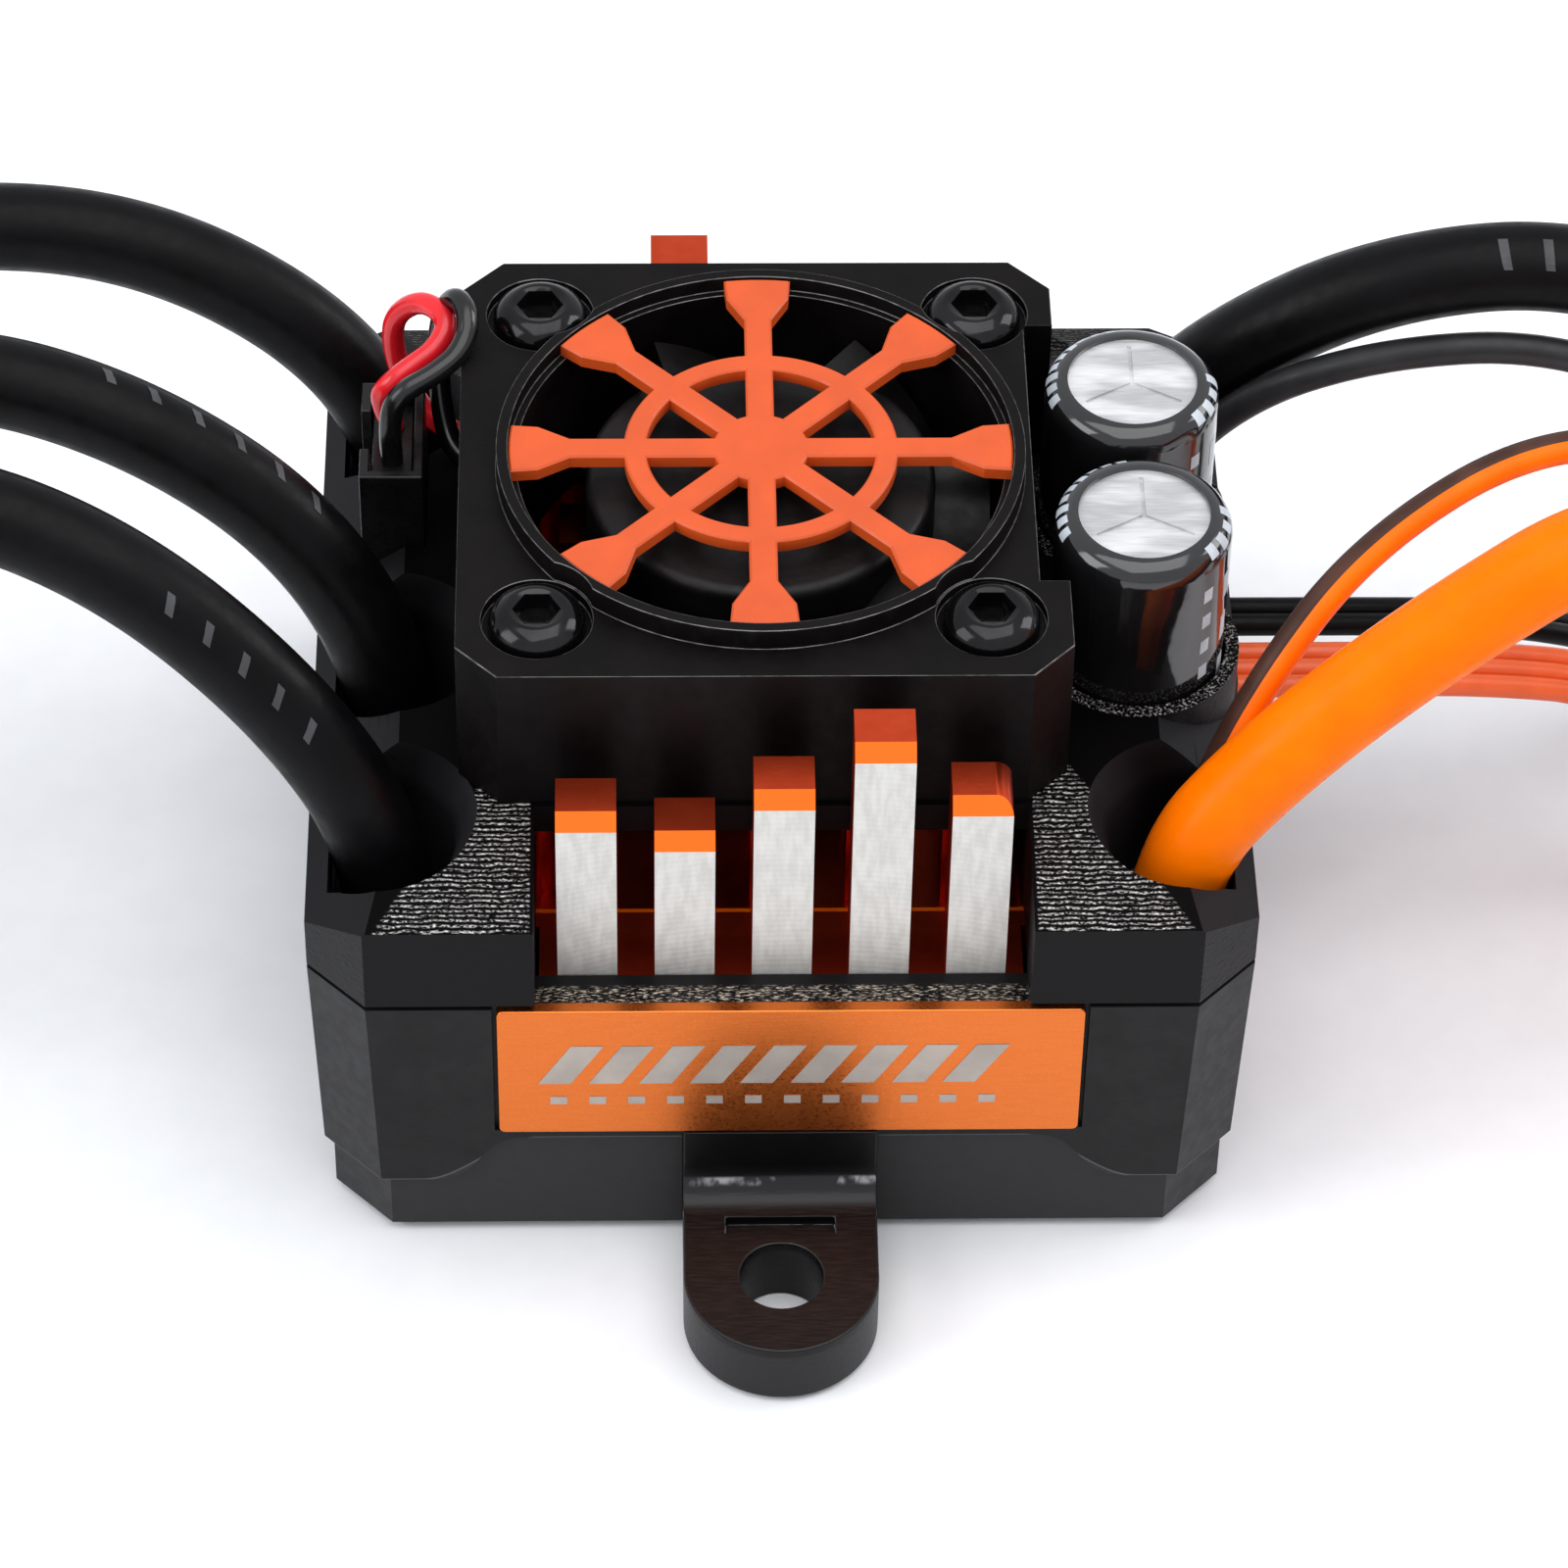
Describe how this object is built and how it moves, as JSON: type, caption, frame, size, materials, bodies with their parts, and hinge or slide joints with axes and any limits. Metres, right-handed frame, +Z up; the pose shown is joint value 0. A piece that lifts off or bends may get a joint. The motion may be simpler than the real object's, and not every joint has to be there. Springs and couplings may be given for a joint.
{
  "type": "electronic speed controller",
  "caption": "Brushless motor speed controller: two-part case with an anodised pin heat sink under a small cooling fan, mounting tabs, capacitors, motor, battery, receiver and switch leads.",
  "frame": {"origin": "middle of the case's bottom face, on the surface that it stands on", "axes": "+Z up, +Y from the front tab to the rear tab, +X from the motor leads to the battery leads"},
  "size_m": [0.2037, 0.073, 0.0432],
  "materials": {
    "case_plastic": "satin moulded",
    "connector_plastic": "satin moulded",
    "tab_plastic": "semi-gloss",
    "badge_orange": "brushed, anodised",
    "sink_orange": "anodised, machined faces bare",
    "guard_orange": "satin",
    "seal_rubber": "matt",
    "black_steel": "black oxide, gloss",
    "board_green": "solder mask",
    "chip_black": "moulded epoxy",
    "contact_brass": "gold flashed",
    "can_aluminium": "bare",
    "wire_steel": "plain",
    "sleeve_black": "gloss shrink sleeve",
    "lead_black": "satin silicone",
    "lead_orange": "satin silicone",
    "lead_red": "satin"
  },
  "bodies": {
    "root": {"badge_front": "badge_orange", "badge_rear": "badge_orange", "battery_connector": "connector_plastic", "battery_contacts": "contact_brass", "battery_lead_black": "lead_black", "battery_lead_orange": "lead_orange", "board_header": "case_plastic", "capacitor_board": "board_green", "capacitor_can_front": "can_aluminium", "capacitor_can_rear": "can_aluminium", "capacitor_legs": "wire_steel", "capacitor_sleeve_front": "sleeve_black", "capacitor_sleeve_rear": "sleeve_black", "case_gasket": "seal_rubber", "case_screws": "black_steel", "control_board": "board_green", "control_chips": "chip_black", "fan_bearing": "contact_brass", "fan_board": "board_green", "fan_frame": "case_plastic", "fan_guard": "guard_orange", "fan_lead_black": "lead_black", "fan_lead_red": "lead_red", "fan_plug": "case_plastic", "fan_screws": "black_steel", "fan_socket": "case_plastic", "fan_stator": "wire_steel", "heat_sink": "sink_orange", "lead_posts": "contact_brass", "lower_case": "case_plastic", "main_board": "board_green", "motor_lead_front": "lead_black", "motor_lead_middle": "lead_black", "motor_lead_rear": "lead_black", "motor_plug_front": "contact_brass", "motor_plug_middle": "contact_brass", "motor_plug_rear": "contact_brass", "mount_tab_front": "tab_plastic", "mount_tab_rear": "tab_plastic", "plug_sleeves": "lead_black", "power_transistors": "chip_black", "receiver_lead": "lead_orange", "receiver_plug": "case_plastic", "socket_pins": "contact_brass", "switch_housing": "case_plastic", "switch_lead": "lead_black", "thermal_pad": "seal_rubber", "thin_lead_black": "lead_black", "thin_lead_orange": "lead_orange", "upper_case": "case_plastic", "well_seals": "seal_rubber", "wire_grommet": "seal_rubber"},
    "rotor": {"fan_rotor": "case_plastic", "fan_magnet": "wire_steel", "fan_shaft": "wire_steel"},
    "slider": {"switch_slider": "case_plastic"}
  },
  "joints": [
    {"name": "fan_spin", "type": "hinge", "parent": "root", "child": "rotor", "pos_m": [-0.00095, 0, 0.0308], "axis": [0, 0, 1], "continuous": true},
    {"name": "switch_slide", "type": "slide", "parent": "root", "child": "slider", "axis": [1, 0, 0], "range_m": [0, 0.0025]}
  ]
}
